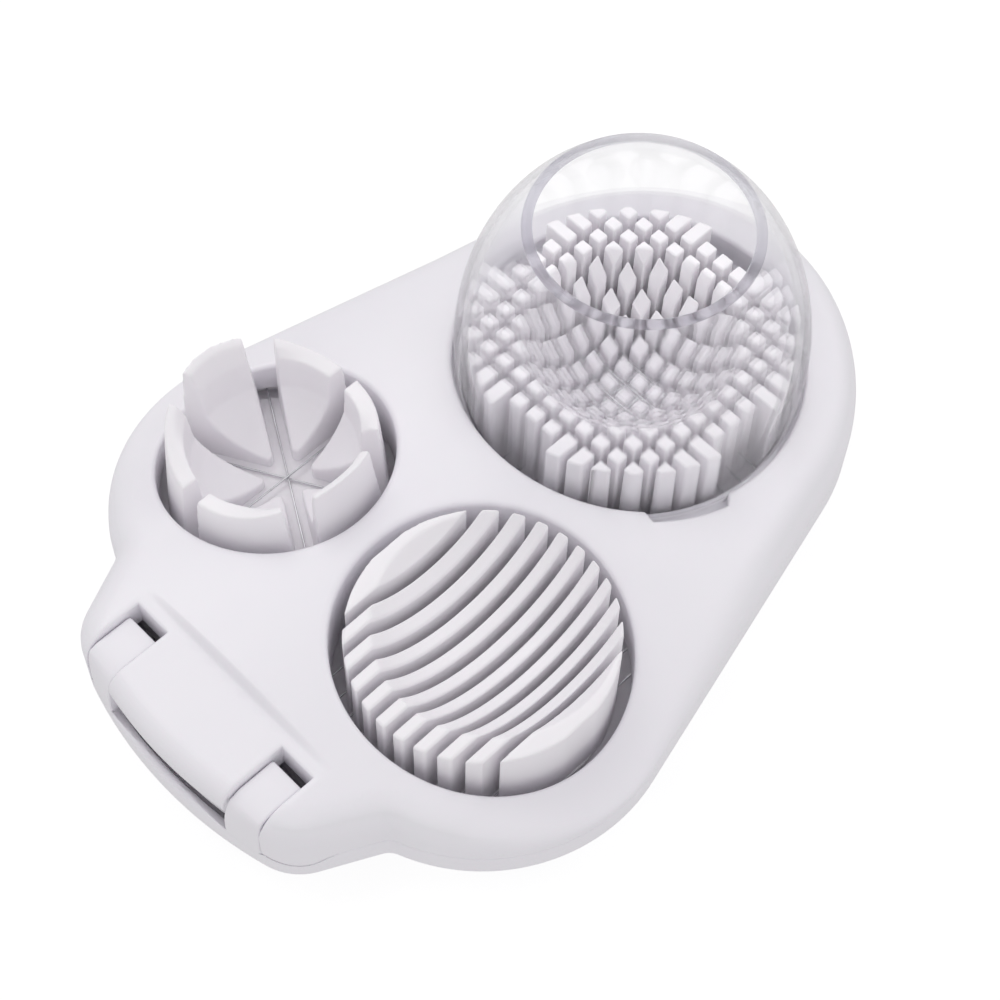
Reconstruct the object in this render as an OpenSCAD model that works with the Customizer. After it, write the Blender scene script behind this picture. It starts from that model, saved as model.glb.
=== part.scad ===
// Three-way egg cutter: a tray with three egg cradles, a hinged frame of
// stainless wires over them, and a clear guard dome over the dicer.
// X runs from the hinge (-) to the dicer end (+), Z is up, and the
// rubber feet stand on Z = 0.

/* [Body] */
// Length of the body from the hinge end to the dicer end
body_l = 195; // [190:1:210]
// Height of the crown of the frame above the table
deck_h = 26; // [25:0.5:28]
// Radius of the crown, which is a cylinder along X
crown_r = 192; // [170:1:240]
// Height of the seam between tray and frame
seam_h = 9.5; // [9:0.1:10.5]
// Radius of the outline around the slicer and the wedger
side_r = 43.5; // [42:0.5:46]
// Radius of the outline around the dicer
nose_r = 53.5; // [52:0.5:58]
// Radius of the outline across the hinge end
tail_r = 105; // [95:1:120]
// Radius of the two corners of the hinge end
corner_r = 14; // [12:0.5:16]
// Distance from the axis of symmetry to each corner's centre
corner_y = 24.8; // [23:0.1:26]
// Radius of the hollow where the hinge end meets the rounder body
waist_r = 5; // [4:0.5:8]
// Slope of the sides of the hinge end, in degrees
neck_slope = 27; // [24:1:30]
// Wall of the tray and of the frame cover
wall = 2.2; // [1.8:0.1:2.6]

/* [Cutters] */
// Distance from the hinge end to the centres of slicer and wedger
pair_x = 66; // [65:0.5:68]
// Distance of the slicer from the axis of symmetry
slicer_y = 29.6; // [29:0.1:31]
// Distance of the wedger from the axis of symmetry
wedger_y = 37.4; // [36.5:0.1:38]
// Radius of the slicer's hole in the frame
slicer_hole_r = 32.8; // [31.5:0.1:33]
// Radius of the wedger's hole in the frame
wedger_hole_r = 27.3; // [26.5:0.1:28]
// Radius of the dicer's hole in the frame
dicer_hole_r = 40.8; // [40:0.1:42]
// Radial gap between the slicer's hole and its cradle
slicer_gap = 3; // [2.5:0.1:4]
// Radial gap between the wedger's hole and its cradle
wedger_gap = 1.7; // [1.5:0.1:2.5]
// Radial gap between the dicer's hole and its pins
dicer_gap = 3.6; // [3.6:0.1:5]
// Width of the plastic collar around each hole
collar_w = 3; // [2.4:0.1:3.4]

/* [Wires] */
// Diameter of a cutting wire
wire_d = 0.5; // [0.4:0.05:0.6]
// Height of the undersides of the collars, which hold the wires down
collar_z = 8; // [7.8:0.1:8.5]
// Thickness of the carrier plate that the wires lie in
carrier_t = 2.6; // [2.4:0.1:2.8]
// Number of slicing wires
slice_n = 10; // [8:2:10]
// Distance between slicing wires
slice_pitch = 5; // [4.6:0.1:5.1]
// Number of dicing wires each way
dice_n = 12; // [8:2:12]
// Distance between dicing wires
dice_pitch = 5.05; // [4.5:0.05:5.2]

/* [Cradles] */
// Height of the wedger's petals above the crown
petal_up = 12; // [8:0.5:12]
// Inward draft of the petals over their height
petal_draft = 2.4; // [2:0.1:3]
// Thickness of a petal's rim
petal_t = 3.2; // [2.6:0.1:3.6]
// Width of the wedger's channels at the floor
channel_w = 4.2; // [4:0.1:4.6]
// How far the wedger's channels widen towards the hinge, where the wires swing
channel_lead = 2.8; // [2.6:0.1:3.2]
// Height of the slicer's ribs above the crown
rib_up = 2.5; // [1:0.5:4]
// Width of the slicer's slots
slot_w = 2.2; // [1.8:0.1:2.4]
// Height of the dicer's tallest pins above the crown
pin_up = 6.5; // [5:0.5:7]
// Width of the gaps between the dicer's pins
pin_gap = 1.4; // [1.3:0.05:1.7]
// How much wider the pins' cross gaps are towards the hinge, where the wires swing
pin_lead = 0.85; // [0.8:0.05:1]

/* [Hinge] */
// Distance from the hinge end to the hinge axis
axis_in = 8.5; // [8:0.1:9.5]
// Height of the hinge axis
axis_z = 15.5; // [15:0.1:16.5]
// Radius of the knuckles around the axis
knuckle_r = 6.4; // [6:0.1:6.8]
// Inner side of a knuckle, from the axis of symmetry
knuckle_y = 18.8; // [18:0.1:20]
// Width of a knuckle
knuckle_w = 8.9; // [8:0.1:9.2]
// Side clearance between a knuckle and the frame
knuckle_gap = 0.35; // [0.3:0.05:0.5]
// Diameter of a hinge pin
pin_d = 3; // [2.5:0.1:3.2]
// Radial clearance of a hinge pin in the frame
pin_fit = 0.05; // [0.03:0.01:0.1]

/* [Dome] */
// Height of the dome's mouth above the crown
dome_up = 46; // [40:1:52]
// Outer radius of the dome's mouth
mouth_r = 26.2; // [24:0.2:28]
// Wall of the dome
dome_t = 1.8; // [1.5:0.1:2.2]
// Radial gap between the dome and the dicer's hole
dome_gap = 0.35; // [0.3:0.05:0.6]

/* [Hidden] */
$fn = 96;

foot_h = 1.5;
foot_d = 11;
foot_sunk = 0.5;
foot_in = 17;
floor_t = 2.5;
plate_t = 2;
seam_gap = 0.3;
notch_gap = 0.05;
press_gap = 0.02;
screw_d = 2.6;
screw_gap = 0.2;
screw_head_d = 5;
screw_head_t = 1.2;
boss_r = 2.4;
boss_bore = 5;
barrel_r = 8.2;
swing_gap = 0.5;
slot_ahead = 4.2;
tongue_l = 27;
pin_cap = 1.5;
pin_half = knuckle_y + knuckle_w - pin_cap - 0.1;
cup_floor = 2;
well_in = 0.3;
hollow_in = 3;
hub_in = [3.2, 0.6];
channel_draft = 0.3;
flat_in = 4.7;
flat_pins = 3;
slicer_hollow_r = 33;
slicer_hollow_z = 14.5;
dish_r = 25;
dish_z = 8;
dish_step = 4;
ledge_z = 16.5;
ledge_h = 2;
ledge_w = 2;
notch_angle = 243;
notch_w = 20;
notch_in = 2.4;
lug_t = 1.5;
dome_belt = 5;
dome_steps = 24;
arc_step = 3;

tail_x = -body_l / 2;
mid_x = tail_x + pair_x;
nose_x = body_l / 2 - nose_r;
axis_x = tail_x + axis_in;
slicer_r = slicer_hole_r - slicer_gap;
wedger_r = wedger_hole_r - wedger_gap;
dicer_r = dicer_hole_r - dicer_gap;
slicer_at = [mid_x, -slicer_y];
wedger_at = [mid_x, wedger_y];
wedger_hub = wedger_at + hub_in;
dicer_at = [nose_x, 0];

tray_z = foot_h;
floor_top = tray_z + floor_t;
channel_z = floor_top + plate_t;
layer = wire_d + 0.05;
carrier_z = collar_z - carrier_t;
wire_in = collar_w + 1;
recess = 1.2;
petal_z = deck_h + petal_up;
rib_z = deck_h + rib_up;
pin_z = deck_h + pin_up;
tongue_y = knuckle_y - knuckle_gap;
slot_x = axis_x + knuckle_r + slot_ahead;
flat_w = flat_pins * dice_pitch;
far = 400;

// ---- outline of the body, seen from above ----

function arc(c, r, a0, a1) =
    let(n = ceil(abs(a1 - a0) / arc_step))
    [for (k = [0:n]) c + r * [cos(a0 + (a1 - a0) * k / n), sin(a0 + (a1 - a0) * k / n)]];

function flip(p) = [p.x, -p.y];
function backwards(list) = [for (i = [len(list) - 1:-1:0]) list[i]];

cup_r = wedger_r - petal_draft - petal_t + 0.5;
side_c = [mid_x, slicer_y];
nose_c = [nose_x, 0];
tail_c = [tail_x + tail_r, 0];
corner_c = [tail_c.x - sqrt(pow(tail_r - corner_r, 2) - pow(corner_y, 2)), corner_y];

// Directions at which the arcs of the outline meet, measured from +X
side_turn = atan2(side_c.y, side_c.x - nose_x) - acos((nose_r - side_r) / norm(side_c - nose_c));
neck_turn = 90 + neck_slope;
tail_turn = atan2(corner_c.y, corner_c.x - tail_c.x);
neck_reach = (corner_c - side_c) * [cos(neck_turn), sin(neck_turn)] + corner_r;
waist_turn = neck_turn + acos((neck_reach + waist_r) / (side_r + waist_r));
waist_c = side_c + (side_r + waist_r) * [cos(waist_turn), sin(waist_turn)];

// One side of the outline, from the nose round to the tail, inset by i
function half_outline(i) = concat(
    arc(nose_c, nose_r - i, 0, side_turn),
    arc(side_c, side_r - i, side_turn, waist_turn),
    arc(waist_c, waist_r + i, waist_turn - 180, neck_turn - 180),
    arc(corner_c, corner_r - i, neck_turn, tail_turn),
    arc(tail_c, tail_r - i, tail_turn, 180));

module outline(i = 0) {
    half = half_outline(i);
    polygon(concat(half, backwards([for (p = half) flip(p)])));
}

module slab(i, z0, z1) {
    translate([0, 0, z0]) linear_extrude(z1 - z0) outline(i);
}

// Everything below the crown, lowered by i
module under_crown(i = 0) {
    translate([0, 0, deck_h - crown_r]) rotate([0, 90, 0])
        cylinder(r = crown_r - i, h = far, center = true, $fn = 360);
}

module rod_y(r, y0, y1, x = axis_x, z = axis_z) {
    translate([x, y0, z]) rotate([-90, 0, 0]) cylinder(r = r, h = y1 - y0);
}

module post(at, r, z0, z1) {
    translate([at.x, at.y, z0]) cylinder(r = r, h = z1 - z0);
}

// ---- tray ----

function ring_points(c, r, angles) = [for (a = angles) c + r * [cos(a), sin(a)]];

cradle_screw_at = concat(
    ring_points(wedger_at, wedger_r * 0.72, [30, 150, 270]),
    ring_points(slicer_at, slicer_r * 0.86, [90, 270]),
    ring_points(dicer_at, dicer_r * 0.8, [45, 135, 225, 315]));

foot_at = [for (s = [1, -1]) for (p = [[tail_x + foot_in, corner_y], nose_c + nose_r / 2 * [1.1, 1]])
    [p.x, s * p.y]];

module knuckle(s) {
    y = s > 0 ? knuckle_y : -knuckle_y - knuckle_w;
    rod_y(knuckle_r, y, y + knuckle_w);
    translate([axis_x - knuckle_r, y, floor_top - 1])
        cube([2 * knuckle_r, knuckle_w, axis_z - floor_top + 1]);
}

module base_tray() {
    color("#e9e6ee") difference() {
        union() {
            difference() {
                slab(0, tray_z, seam_h - seam_gap);
                slab(wall, floor_top, far);
                rod_y(barrel_r + swing_gap, -corner_y - corner_r, corner_y + corner_r);
            }
            intersection() {
                union() for (s = [1, -1]) knuckle(s);
                slab(0, tray_z, far);
            }
        }
        rod_y(pin_d / 2 + press_gap, -knuckle_y - knuckle_w + pin_cap, knuckle_y + knuckle_w - pin_cap);
        for (p = cradle_screw_at) {
            post(p, screw_d / 2 + screw_gap, tray_z - 1, floor_top + 1);
            post(p, screw_head_d / 2 + screw_gap, tray_z - 1, tray_z + screw_head_t);
        }
        for (p = foot_at) post(p, foot_d / 2 + screw_gap, tray_z - 1, tray_z + foot_sunk);
    }
}

module rubber_feet() {
    color("#8d8d92") for (p = foot_at) post(p, foot_d / 2, 0, tray_z + foot_sunk);
}

module cradle_screws() {
    color("silver") for (p = cradle_screw_at) {
        post(p, screw_head_d / 2, tray_z + 0.1, tray_z + screw_head_t);
        post(p, screw_d / 2, tray_z + screw_head_t / 2, channel_z - 0.4);
    }
}

module cradle_pilots() {
    for (p = cradle_screw_at) post(p, screw_d / 2 + press_gap, floor_top - 1, channel_z - 0.3);
}

module hinge_pin() {
    color("silver") rod_y(pin_d / 2, -pin_half, pin_half);
}

// ---- cradles ----

// Hollow over the dicer's pins, whose tops follow the blunt end of an egg
module pin_dish() {
    rise = (pin_z - dish_z) / pow(dish_r, 2);
    rotate_extrude() polygon(concat(
        [for (r = [0:dish_step:dish_r + dish_step]) [r, dish_z + rise * r * r]], [[0, far]]));
}

// One channel of the wedger, leaning towards the hinge where the wire swings that way
module wedge_channel(angle) {
    half = channel_w / 2;
    top_half = half + channel_draft;
    translate([wedger_hub.x, wedger_hub.y, 0]) rotate([0, 0, angle]) rotate([90, 0, 90])
        linear_extrude(3 * wedger_r, center = true)
        polygon([[-half, channel_z], [half, channel_z],
            [top_half + channel_lead * sin(angle), petal_z], [-top_half, petal_z]]);
}

module wedge_cradle() {
    color("#ebe8f0") difference() {
        intersection() {
            translate([wedger_at.x, wedger_at.y, floor_top])
                cylinder(r1 = wedger_r, r2 = wedger_r - petal_draft, h = petal_z - floor_top);
            under_crown(-petal_up);
        }
        translate([wedger_at.x, wedger_at.y, channel_z + cup_floor + cup_r]) sphere(r = cup_r);
        post(wedger_at, cup_r, channel_z + cup_floor + cup_r, far);
        for (a = [0, 60, 120]) wedge_channel(a);
        post(wedger_hub, channel_w + well_in, channel_z - well_in, far);
        cradle_pilots();
    }
}

module slicer_cradle() {
    color("#ebe8f0") difference() {
        post(slicer_at, slicer_r, floor_top, rib_z);
        translate([slicer_at.x + hollow_in, slicer_at.y, slicer_hollow_z + slicer_hollow_r])
            sphere(r = slicer_hollow_r);
        for (k = [0:slice_n - 1])
            translate([slicer_at.x, slicer_at.y + (k - (slice_n - 1) / 2) * slice_pitch, (channel_z + rib_z) / 2 + 1])
                cube([3 * slicer_r, slot_w, rib_z - channel_z + 2], center = true);
        cradle_pilots();
    }
}

module dicer_pin_block() {
    color("#ebe8f0") difference() {
        post(dicer_at, dicer_r, floor_top, pin_z);
        translate([dicer_at.x, dicer_at.y, 0]) pin_dish();
        translate([dicer_at.x, dicer_at.y, channel_z]) {
            for (k = [0:dice_n - 1]) {
                at = (k - (dice_n - 1) / 2) * dice_pitch;
                translate([at - pin_gap / 2 - pin_lead, -far / 2, 0]) cube([pin_gap + pin_lead, far, far]);
                translate([-far / 2, at - pin_gap / 2, 0]) cube([far, pin_gap, far]);
            }
            for (a = [0:90:270]) rotate([0, 0, a])
                translate([dicer_r - flat_in, -flat_w / 2, 0]) cube([far, flat_w, far]);
        }
        cradle_pilots();
    }
}

// ---- frame ----

holes = [[slicer_at, slicer_hole_r], [wedger_at, wedger_hole_r], [dicer_at, dicer_hole_r]];
boss_at = concat(
    ring_points(dicer_at, dicer_hole_r + collar_w + boss_r + 1, [45, 135, 225, 315]),
    ring_points(side_c, side_r - wall - screw_head_d / 2 - 0.5, [157.5]),
    ring_points(flip(side_c), side_r - wall - screw_head_d / 2 - 0.5, [202.5, 270]),
    [[slot_x + boss_r + 4, 0]]);

module knuckle_slots(z0, z1) {
    for (s = [1, -1]) {
        y = s > 0 ? tongue_y : -tongue_y - knuckle_w - 2 * knuckle_gap;
        translate([tail_x - 5, y, z0]) cube([slot_x - tail_x + 5, knuckle_w + 2 * knuckle_gap, z1 - z0]);
    }
}

// The low deck over the hinge, as the space above it
module above_tongue(down = 0) {
    translate([tail_x - 5, -far / 2, axis_z + barrel_r - down]) cube([tongue_l + 5, far, far]);
}

module cover_solid(i) {
    difference() {
        intersection() {
            slab(i, i > 0 ? 0 : seam_h, far);
            under_crown(i);
        }
        above_tongue(i);
    }
}

module frame_cover() {
    color("#e9e6ee") difference() {
        union() {
            difference() {
                cover_solid(0);
                cover_solid(wall);
                translate([tail_x - 5, -tongue_y, 0]) cube([axis_in + 5, 2 * tongue_y, far]);
            }
            intersection() {
                cover_solid(0.5);
                union() {
                    for (h = holes) post(h[0], h[1] + collar_w, collar_z, far);
                    for (p = boss_at) post(p, boss_r, collar_z, far);
                }
            }
            rod_y(barrel_r, -tongue_y, tongue_y);
        }
        for (h = holes) post(h[0], h[1], 0, far);
        knuckle_slots(0, far);
        rod_y(pin_d / 2 + pin_fit, -tongue_y - 1, tongue_y + 1);
        for (p = boss_at) post(p, screw_d / 2 + press_gap, 0, collar_z + boss_bore);
        dome_notch();
    }
    color("#e9e6ee") ledge();
}

// Ledge inside the dicer's hole that the dome stands on
module ledge() {
    translate([dicer_at.x, dicer_at.y, ledge_z]) difference() {
        cylinder(r = dicer_hole_r + 0.5, h = ledge_h);
        translate([0, 0, -1]) cylinder(r = dicer_hole_r - ledge_w, h = ledge_h + 2);
    }
}

module dome_notch() {
    translate([dicer_at.x, dicer_at.y, ledge_z + ledge_h]) rotate([0, 0, notch_angle])
        translate([0, -notch_w / 2, 0]) cube([dicer_hole_r + notch_in, notch_w, far]);
}

module wire_carrier() {
    color("#dedbe4") difference() {
        slab(wall + knuckle_gap, carrier_z, collar_z);
        translate([tail_x - 5, -far / 2, 0]) cube([slot_x - tail_x + 6, far, far]);
        for (h = holes) post(h[0], h[1] + recess, 0, far);
        for (p = boss_at) post(p, screw_d / 2 + screw_gap, 0, far);
        slicing(true);
        for (n = [0:2]) wedging(n, true);
        for (across = [true, false]) dicing(across, true);
    }
}

module carrier_screws() {
    color("silver") for (p = boss_at) {
        post(p, screw_head_d / 2, carrier_z - screw_head_t, carrier_z);
        post(p, screw_d / 2, carrier_z - screw_head_t / 2, collar_z + boss_bore - 0.5);
    }
}

// ---- wires ----

// One wire of a cutter, or the notch it lies in; n is its layer, counted down
module wire(cutter, angle, n, off = 0, notch = false) {
    at = holes[cutter][0];
    half = sqrt(pow(holes[cutter][1], 2) - off * off) + wire_in;
    translate([at.x, at.y, collar_z - notch_gap - wire_d / 2 - n * layer])
        rotate([0, 0, angle]) translate([0, off, 0])
        if (notch)
            translate([-half - notch_gap, -wire_d / 2 - notch_gap, -wire_d / 2 - notch_gap])
                cube([2 * (half + notch_gap), wire_d + 2 * notch_gap, carrier_t]);
        else
            rotate([0, 90, 0]) cylinder(r = wire_d / 2, h = 2 * half, center = true, $fn = 16);
}

module slicing(notch = false) {
    for (k = [0:slice_n - 1]) wire(0, 0, 0, (k - (slice_n - 1) / 2) * slice_pitch, notch);
}

module dicing(across, notch = false) {
    for (k = [0:dice_n - 1])
        wire(2, across ? 90 : 0, across ? 0 : 1, (k - (dice_n - 1) / 2) * dice_pitch, notch);
}

module wedging(n, notch = false) {
    wire(1, 60 * n, n, hub_in * [-sin(60 * n), cos(60 * n)], notch);
}

module slicer_wires() { color("silver") slicing(); }
module dicer_wires_long() { color("silver") dicing(false); }
module dicer_wires_cross() { color("silver") dicing(true); }
module wedge_wire_a() { color("silver") wedging(0); }
module wedge_wire_b() { color("silver") wedging(1); }
module wedge_wire_c() { color("silver") wedging(2); }

// ---- dome ----

dome_foot = ledge_z + ledge_h + seam_gap;
dome_mouth = deck_h + dome_up;
dome_r = dicer_hole_r - dome_gap;

// Outer radius of the dome at height z: upright in the hole, then half an egg
function dome_at(z) =
    let(belt = deck_h + dome_belt, u = max(z - belt, 0) / (dome_mouth - belt))
    dome_r * sqrt(1 - (1 - pow(mouth_r / dome_r, 2)) * u * u);

module guard_dome() {
    zs = [for (k = [0:dome_steps]) dome_foot + (dome_mouth - dome_foot) * k / dome_steps];
    outer = [for (z = zs) [dome_at(z), z]];
    inner = backwards([for (p = outer) [p.x - dome_t, p.y]]);
    color([0.9, 0.92, 0.96, 0.4]) translate([dicer_at.x, dicer_at.y, 0]) {
        rotate_extrude() polygon(concat(outer, inner));
        rotate([0, 0, notch_angle]) translate([0, 0, dome_foot]) intersection() {
            difference() {
                cylinder(r = dicer_hole_r + notch_in - dome_gap, h = lug_t);
                translate([0, 0, -1]) cylinder(r = dome_r - dome_t / 2, h = lug_t + 2);
            }
            translate([0, dome_gap - notch_w / 2, 0]) cube([far, notch_w - 2 * dome_gap, far]);
        }
    }
}

base_tray();
wedge_cradle();
slicer_cradle();
dicer_pin_block();
cradle_screws();
rubber_feet();
hinge_pin();
frame_cover();
wire_carrier();
carrier_screws();
wedge_wire_a();
wedge_wire_b();
wedge_wire_c();
slicer_wires();
dicer_wires_long();
dicer_wires_cross();
guard_dome();
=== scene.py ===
import math

import bpy
import numpy as np
from mathutils import Matrix, Vector, geometry


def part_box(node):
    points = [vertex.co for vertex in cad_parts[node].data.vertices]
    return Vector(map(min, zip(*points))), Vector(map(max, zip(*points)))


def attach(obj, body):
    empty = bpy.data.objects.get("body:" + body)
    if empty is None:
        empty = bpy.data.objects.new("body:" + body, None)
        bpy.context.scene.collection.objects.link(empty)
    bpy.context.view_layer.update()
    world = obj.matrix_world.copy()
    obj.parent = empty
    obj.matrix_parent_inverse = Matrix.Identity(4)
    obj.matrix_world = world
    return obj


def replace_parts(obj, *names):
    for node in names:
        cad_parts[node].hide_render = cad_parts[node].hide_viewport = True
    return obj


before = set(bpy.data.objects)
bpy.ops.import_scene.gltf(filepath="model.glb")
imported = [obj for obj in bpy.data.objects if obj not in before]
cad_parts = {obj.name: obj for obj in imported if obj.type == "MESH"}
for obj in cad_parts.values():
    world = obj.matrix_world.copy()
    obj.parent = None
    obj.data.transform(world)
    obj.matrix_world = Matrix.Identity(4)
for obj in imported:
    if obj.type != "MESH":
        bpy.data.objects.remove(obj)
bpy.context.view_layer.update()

MM = 0.001

# ---------------------------------------------------------------- sizes, in mm


def box_mm(node):
    lo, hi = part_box(node)
    return np.array(lo) / MM, np.array(hi) / MM


TRAY_LO, TRAY_HI = box_mm("base_tray")
TAIL_X = TRAY_LO[0]
DECK_H = 26.0           # height of the deck on its centre line
CROWN_R = 192.0         # curve of the deck across its width
SEAM = 9.5              # height of the seam between cover and tray
WALL = 2.2
SIDE_R, NOSE_R, TAIL_R = 43.5, 53.5, 105.0
CORNER_R, CORNER_Y, WAIST_R = 14.0, 24.8, 5.0
NECK_TURN = 90 + 27     # outward direction of the neck's straight side, in degrees
TRAY_FLOOR = 4.0        # top of the tray's floor
PLATE_TOP = 6.0         # top of the cradles' plates
ROOT = PLATE_TOP - 0.8  # the cradles' pieces start inside their plates


def middle(node):
    lo, hi = box_mm(node)
    return (lo[:2] + hi[:2]) / 2


SLICER, WEDGER, DICER = middle("slicer_cradle"), middle("wedge_cradle"), middle("dicer_pin_block")
SLICER_R, WEDGER_R, DICER_R = 29.8, 25.6, 37.2
DICER_HOLE_R = 40.8
HOLES = [(SLICER, 32.8), (WEDGER, 27.3), (DICER, DICER_HOLE_R)]
HOLE_ROUND = 1.3
COLLAR_W, COLLAR_Z = 3.0, 8.0       # wall round each hole, and how low it reaches
LEDGE_TOP = 18.5                    # the dome stands on a ledge in the dicer's hole
AXIS_X, AXIS_Z = TAIL_X + 8.5, 15.5
BARREL_R = 8.2
TONGUE_Y, SLOT_Y = 18.45, 28.05     # the slots lie between these, on both sides
SLOT_X = AXIS_X + 10.6
SLOT_ROUND, SLOT_WALL, SLOT_WALL_Z = 0.7, 1.4, 16.0
TONGUE_Z = 23.7                     # height of the lower deck over the hinge
TONGUE_X = TAIL_X + 22.7            # the step up from it
STEP_W = 2.0
NOTCH = math.radians(243)           # direction of the notch in the rim of the dicer's hole
NOTCH_DEPTH, NOTCH_HALF, NOTCH_EASE = 2.4, 10.0, 1.6
PLAN_LO, PLAN_HI = (TAIL_X, -74), (TRAY_HI[0], 74)
MARGIN = 0.02                       # keeps a test clear of the line that it follows

# ---------------------------------------------------------------- outline


def arc(c, r, a0, a1, step=2.0):
    """Points of an arc, with its angles in degrees."""
    n = max(1, math.ceil(abs(a1 - a0) / step))
    t = np.radians(a0 + (a1 - a0) * np.arange(n + 1) / n)
    return np.column_stack([c[0] + r * np.cos(t), c[1] + r * np.sin(t)])


SIDE_C = np.array([SLICER[0], -SLICER[1]])
NOSE_C = np.array([TRAY_HI[0] - NOSE_R, 0.0])
TAIL_C = np.array([TAIL_X + TAIL_R, 0.0])
CORNER_C = np.array([TAIL_C[0] - math.sqrt((TAIL_R - CORNER_R) ** 2 - CORNER_Y ** 2), CORNER_Y])
SIDE_TURN = math.degrees(
    math.atan2(SIDE_C[1], SIDE_C[0] - NOSE_C[0])
    - math.acos((NOSE_R - SIDE_R) / np.linalg.norm(SIDE_C - NOSE_C)))
TAIL_TURN = math.degrees(math.atan2(CORNER_C[1], CORNER_C[0] - TAIL_C[0]))
NECK = np.array([math.cos(math.radians(NECK_TURN)), math.sin(math.radians(NECK_TURN))])
WAIST_TURN = NECK_TURN + math.degrees(
    math.acos(((CORNER_C - SIDE_C) @ NECK + CORNER_R + WAIST_R) / (SIDE_R + WAIST_R)))
WAIST_C = SIDE_C + (SIDE_R + WAIST_R) * np.array(
    [math.cos(math.radians(WAIST_TURN)), math.sin(math.radians(WAIST_TURN))])


def outline(i=0.0):
    """The body's outline seen from above, inset by i."""
    half = np.vstack([
        arc(NOSE_C, NOSE_R - i, 0, SIDE_TURN),
        arc(SIDE_C, SIDE_R - i, SIDE_TURN, WAIST_TURN),
        arc(WAIST_C, WAIST_R + i, WAIST_TURN - 180, NECK_TURN - 180, 6),
        arc(CORNER_C, CORNER_R - i, NECK_TURN, TAIL_TURN, 4),
        arc(TAIL_C, TAIL_R - i, TAIL_TURN, 180, 0.7)])
    keep = [0] + [k for k in range(1, len(half)) if np.linalg.norm(half[k] - half[k - 1]) > 0.02]
    half = half[keep]
    return np.vstack([half, half[-2:0:-1] * [1, -1]])


OUT = outline()


def inside(poly, p):
    """Which points lie inside a polygon."""
    hit = np.zeros(len(p), bool)
    for (x0, y0), (x1, y1) in zip(poly, np.roll(poly, -1, axis=0)):
        if y0 == y1:
            continue
        level = (p[:, 1] > min(y0, y1)) & (p[:, 1] <= max(y0, y1))
        x = x0 + (p[:, 1] - y0) * (x1 - x0) / (y1 - y0)
        hit ^= level & (p[:, 0] < x)
    return hit


def edge_distance(poly, p):
    """Distance of each point from the line of a polygon."""
    best = np.full(len(p), 1e9)
    for a, b in zip(poly, np.roll(poly, -1, axis=0)):
        ab = b - a
        t = np.clip(((p - a) @ ab) / (ab @ ab), 0, 1)
        best = np.minimum(best, np.linalg.norm(p - a - t[:, None] * ab, axis=1))
    return best


def tail_line(y):
    """x of the outline's hinge end at y."""
    flat = TAIL_C[0] - np.sqrt(TAIL_R ** 2 - np.minimum(np.abs(y), 60) ** 2)
    bend = CORNER_C[0] - np.sqrt(np.maximum(CORNER_R ** 2 - np.maximum(np.abs(y) - CORNER_Y, 0) ** 2, 0))
    turn_y = abs(TAIL_C[1] + TAIL_R * math.sin(math.radians(TAIL_TURN)))
    return np.where(np.abs(y) < turn_y, flat, bend)


# ---------------------------------------------------------------- mesh helpers


def make(name, verts, faces, body, material, sharp=35):
    """A piece from corners in mm, smooth but for edges that turn by more than sharp degrees."""
    mesh = bpy.data.meshes.new(name)
    mesh.from_pydata([tuple(c * MM for c in v) for v in verts], [], faces)
    mesh.validate()
    mesh.polygons.foreach_set("use_smooth", [True] * len(mesh.polygons))
    mesh.set_sharp_from_angle(angle=math.radians(sharp))
    mesh.update()
    piece = bpy.data.objects.new(name, mesh)
    bpy.context.scene.collection.objects.link(piece)
    piece.data.materials.append(material)
    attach(piece, body)
    return piece


def bevel(piece, width, segments, angle):
    """Rounds the edges that turn by more than angle degrees."""
    m = piece.modifiers.new("round", "BEVEL")
    m.width = width * MM
    m.segments = segments
    m.limit_method = "ANGLE"
    m.angle_limit = math.radians(angle)
    m.use_clamp_overlap = False


def resample(pts, closed, step=2.4):
    """The same line with its long runs divided."""
    out = []
    ends = np.roll(pts, -1, axis=0) if closed else pts[1:]
    for a, b in zip(pts, ends):
        n = max(1, math.ceil(np.linalg.norm(b - a) / step))
        out += [a + (b - a) * k / n for k in range(n)]
    return np.array(out if closed else out + [pts[-1]])


def soften(piece, size, turns):
    """Moulded look: the piece is meshed evenly and its edges are rounded."""
    m = piece.modifiers.new("even", "REMESH")
    m.mode = "VOXEL"
    m.voxel_size = size * MM
    m.use_smooth_shade = True
    m = piece.modifiers.new("soft", "SMOOTH")
    m.factor = 0.5
    m.iterations = turns


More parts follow.
